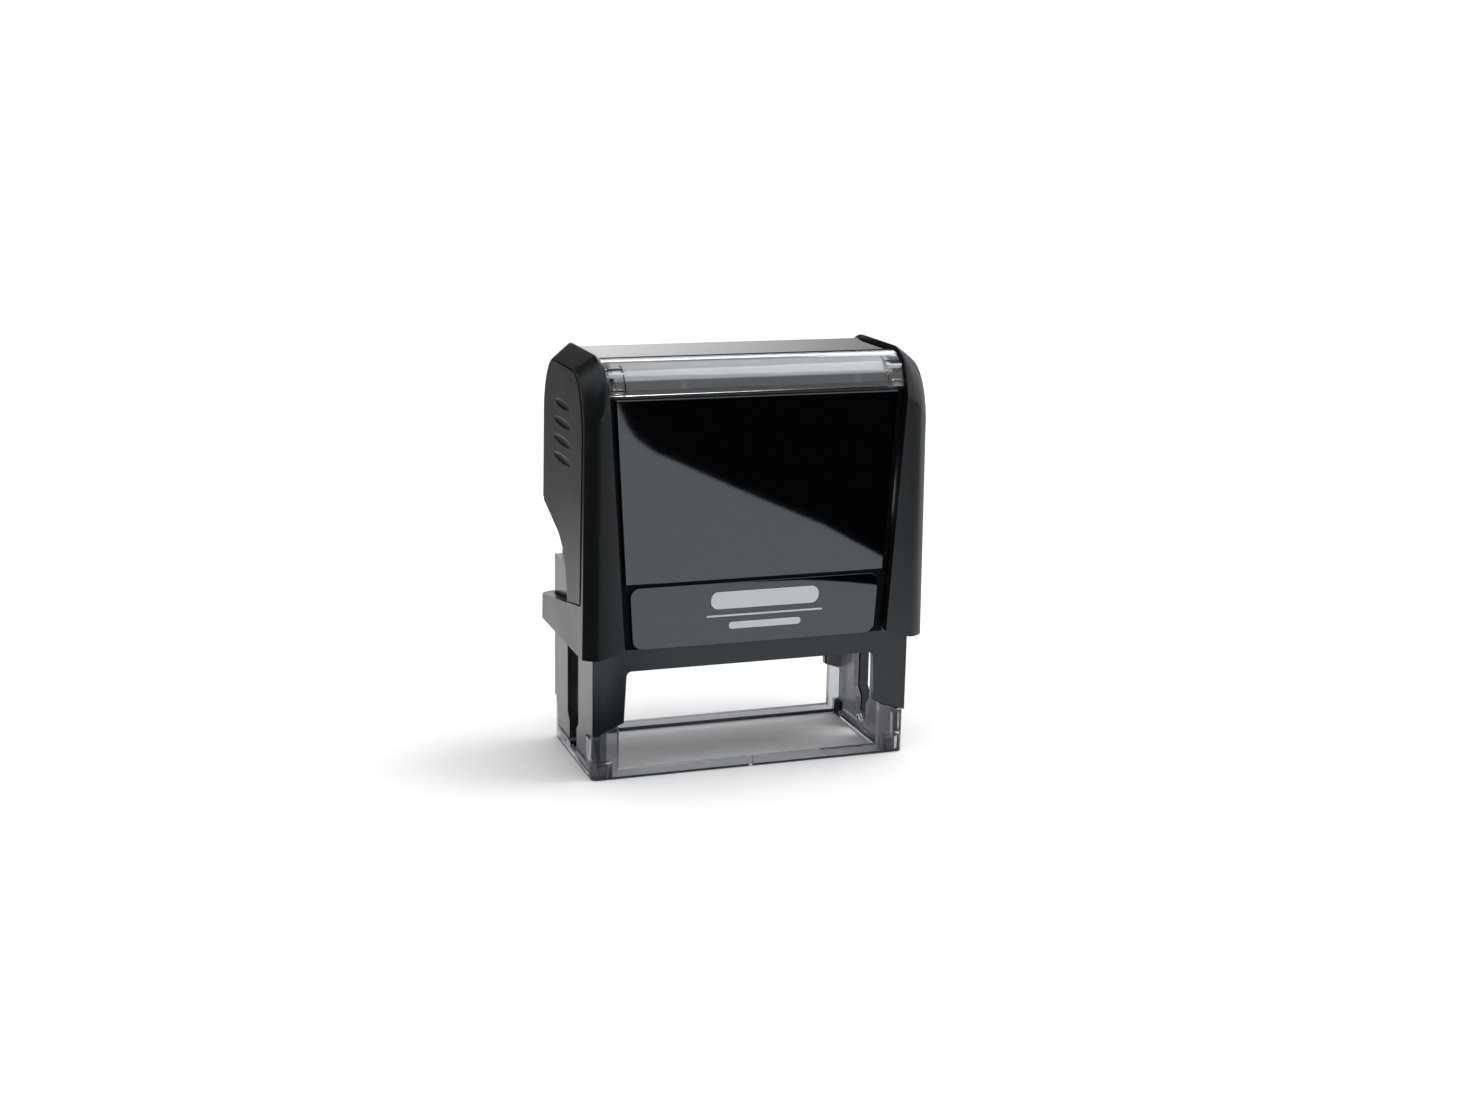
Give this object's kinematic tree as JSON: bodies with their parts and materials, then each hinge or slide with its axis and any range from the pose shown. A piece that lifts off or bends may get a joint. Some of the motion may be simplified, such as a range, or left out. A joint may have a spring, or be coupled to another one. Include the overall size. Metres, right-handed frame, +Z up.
{
  "type": "self-inking text stamp",
  "caption": "Self-inking stamp: a spring cap slides down a base frame and flips a text plate from the ink pad to the paper through a clear foot.",
  "frame": {"origin": "bottom centre of the clear foot, on the surface it stands on", "axes": "+Z up through the cap, +X to the right seen from the front, -Y towards the front panel"},
  "size_m": [0.0616, 0.0306, 0.0722],
  "materials": {
    "smoky_clear": "smoky transparent moulded plastic",
    "window_clear": "clear moulded plastic",
    "satin_black": "satin moulded plastic",
    "matte_black": "fine-grained matte moulded plastic",
    "gloss_black": "high-gloss moulded plastic",
    "index_card": "plain paper card",
    "carrier_grey": "plain moulded plastic",
    "plated_steel": "plated spring and rod steel",
    "cushion_foam": "closed-cell foam",
    "text_rubber": "engraved rubber",
    "foot_rubber": "soft rubber plug",
    "inked_felt": "ink-soaked felt"
  },
  "bodies": {
    "base": {"base_frame": "satin_black", "clear_foot": "smoky_clear", "foot_pad_front_left": "foot_rubber", "foot_pad_front_right": "foot_rubber", "foot_pad_rear_left": "foot_rubber", "foot_pad_rear_right": "foot_rubber", "ink_tray": "satin_black", "ink_pad": "inked_felt", "return_spring": "plated_steel"},
    "cap": {"cap_shell": "matte_black", "left_side_grip": "matte_black", "right_side_grip": "matte_black", "front_panel": "gloss_black", "rear_panel": "gloss_black", "rear_strip": "gloss_black", "top_cover": "gloss_black", "index_window": "window_clear", "index_card": "index_card"},
    "carrier": {"plate_carrier": "carrier_grey", "carrier_axle": "plated_steel", "plate_cushion": "cushion_foam", "text_plate": "text_rubber"},
    "lock": {"lock_button": "matte_black"}
  },
  "joints": [
    {"name": "press", "type": "slide", "parent": "base", "child": "cap", "axis": [0, 0, -1], "range_m": [0, 0.02], "stiffness_N_per_m": 400, "springref_m": -0.01, "deforming": ["return_spring"]},
    {"name": "carrier_flip", "type": "hinge", "parent": "cap", "child": "carrier", "pos_m": [0, 0, 0.0258], "axis": [1, 0, 0], "range_deg": [0, 180]},
    {"name": "lock_push", "type": "slide", "parent": "cap", "child": "lock", "axis": [0, -1, 0], "range_m": [0, 0.0009], "stiffness_N_per_m": 300, "springref_m": -0.001}
  ],
  "couplings": [
    {"joint": "carrier_flip", "follows": "press", "rad_per_m": 157.07}
  ]
}
